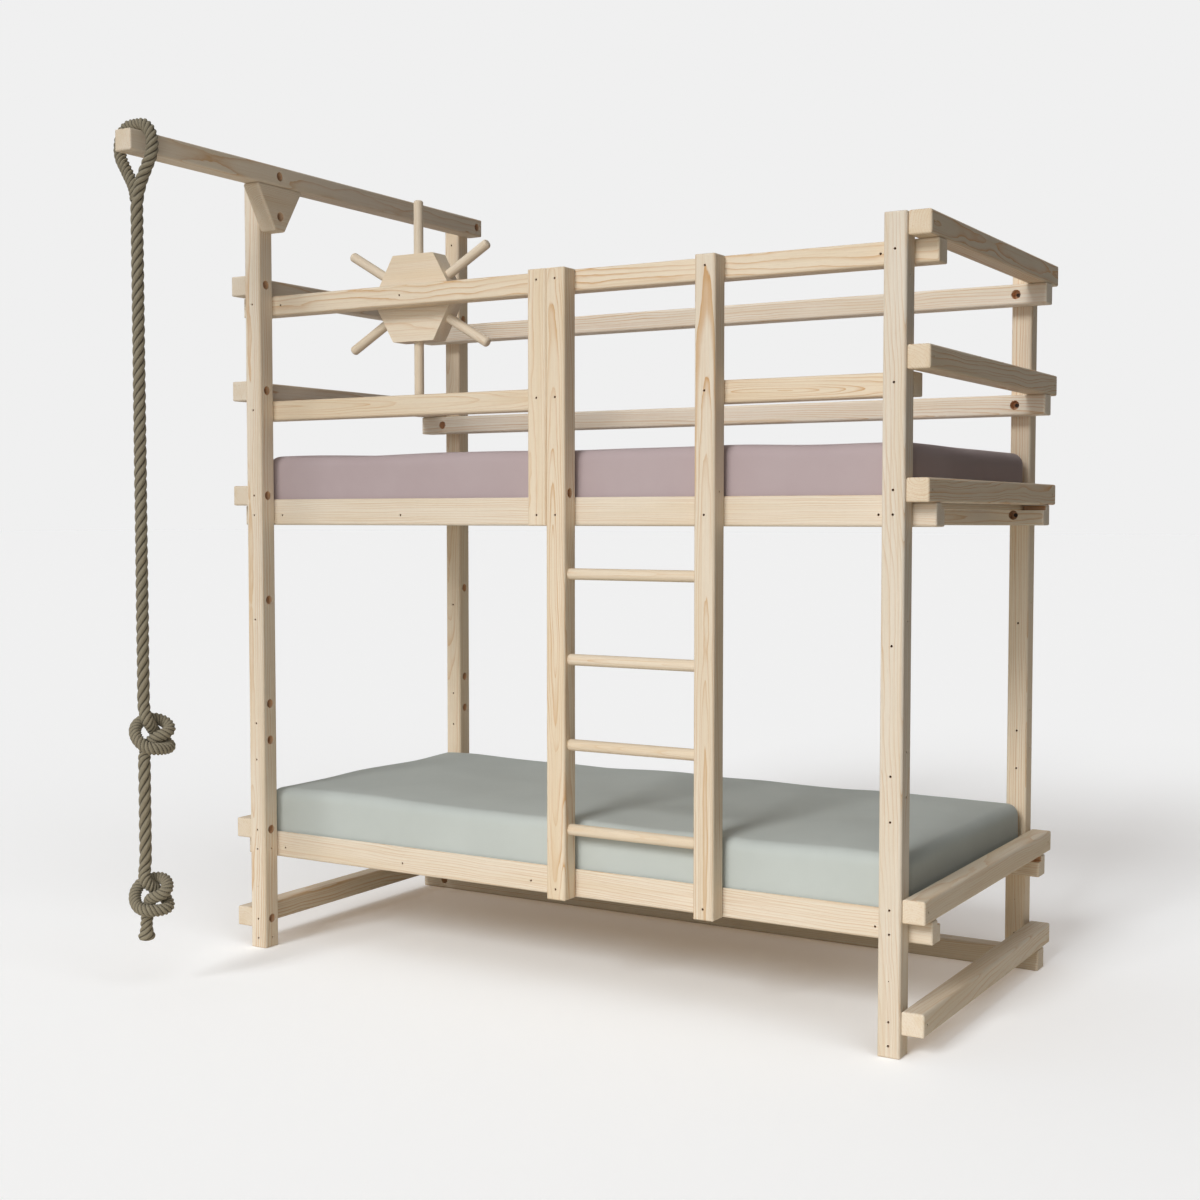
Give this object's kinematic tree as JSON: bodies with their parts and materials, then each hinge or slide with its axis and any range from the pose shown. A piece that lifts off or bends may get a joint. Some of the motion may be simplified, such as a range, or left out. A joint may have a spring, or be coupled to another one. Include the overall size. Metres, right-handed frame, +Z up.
{
  "type": "bunk bed",
  "caption": "Pine bunk bed with mattresses, a front ladder, guard rails, a hoist beam with a knotted climbing rope on it, and a toy steering wheel that turns.",
  "frame": {"origin": "centre of the left front post's foot, on the floor", "axes": "+X along the bed to its right end, +Y to its back, +Z up"},
  "size_m": [2.129, 1.5814, 2.3018],
  "materials": {
    "pine": "planed pine, clear matt oil",
    "slat_pine": "planed pine, untreated",
    "wheel_pine": "sanded pine, clear matt oil",
    "mauve_cover": "woven cotton cover, matt",
    "sage_cover": "woven cotton cover, matt",
    "rope": "three-strand laid rope, matt",
    "dark_steel": "blackened steel, satin",
    "zinc_steel": "zinc plated steel",
    "dark_plastic": "dark moulded plastic, matt"
  },
  "bodies": {
    "root": {"post_front_left": "pine", "post_back_left": "pine", "post_front_right": "pine", "post_back_right": "pine", "hoist_beam": "pine", "hoist_bracket": "pine", "front_rail_top": "pine", "front_rail_mid_left": "pine", "front_rail_mid_right": "pine", "front_rail_upper_bed": "pine", "front_rail_lower_bed": "pine", "back_rail_top": "pine", "back_rail_mid": "pine", "back_rail_upper_bed": "pine", "back_rail_lower_bed": "pine", "back_rail_floor": "pine", "left_rail_top": "pine", "left_rail_mid": "pine", "left_rail_upper_bed": "pine", "left_rail_lower_bed": "pine", "left_rail_floor": "pine", "right_rail_top": "pine", "right_rail_mid": "pine", "right_rail_upper_bed": "pine", "right_rail_lower_bed": "pine", "right_rail_floor": "pine", "guard_post": "pine", "ladder_stile_left": "pine", "ladder_stile_right": "pine", "ladder_rung_1": "pine", "ladder_rung_2": "pine", "ladder_rung_3": "pine", "ladder_rung_4": "pine", "slats_upper": "slat_pine", "slats_lower": "slat_pine", "slat_screws_upper": "zinc_steel", "slat_screws_lower": "zinc_steel", "mattress_upper": "mauve_cover", "mattress_lower": "sage_cover", "wheel_bolt": "dark_steel", "wheel_spacer": "dark_plastic", "wheel_washer": "zinc_steel", "bolts_front": "dark_steel", "bolts_back": "dark_steel", "bolts_left_end": "dark_steel", "bolts_right_end": "dark_steel", "bolts_hoist": "dark_steel", "rope_eye": "rope"},
    "steering_wheel": {"wheel_hub": "wheel_pine", "wheel_handle_1": "wheel_pine", "wheel_handle_2": "wheel_pine", "wheel_handle_3": "wheel_pine", "wheel_handle_4": "wheel_pine", "wheel_handle_5": "wheel_pine", "wheel_handle_6": "wheel_pine"},
    "climbing_rope": {"rope": "rope"}
  },
  "joints": [
    {"name": "wheel_turn", "type": "hinge", "parent": "root", "child": "steering_wheel", "pos_m": [0.4895, 0.119, 1.8795], "axis": [0, 1, 0], "continuous": true},
    {"name": "rope_swing", "type": "hinge", "parent": "root", "child": "climbing_rope", "pos_m": [0.057, -0.5215, 2.1005], "axis": [0, 1, 0], "range_deg": [-25, 25]}
  ]
}
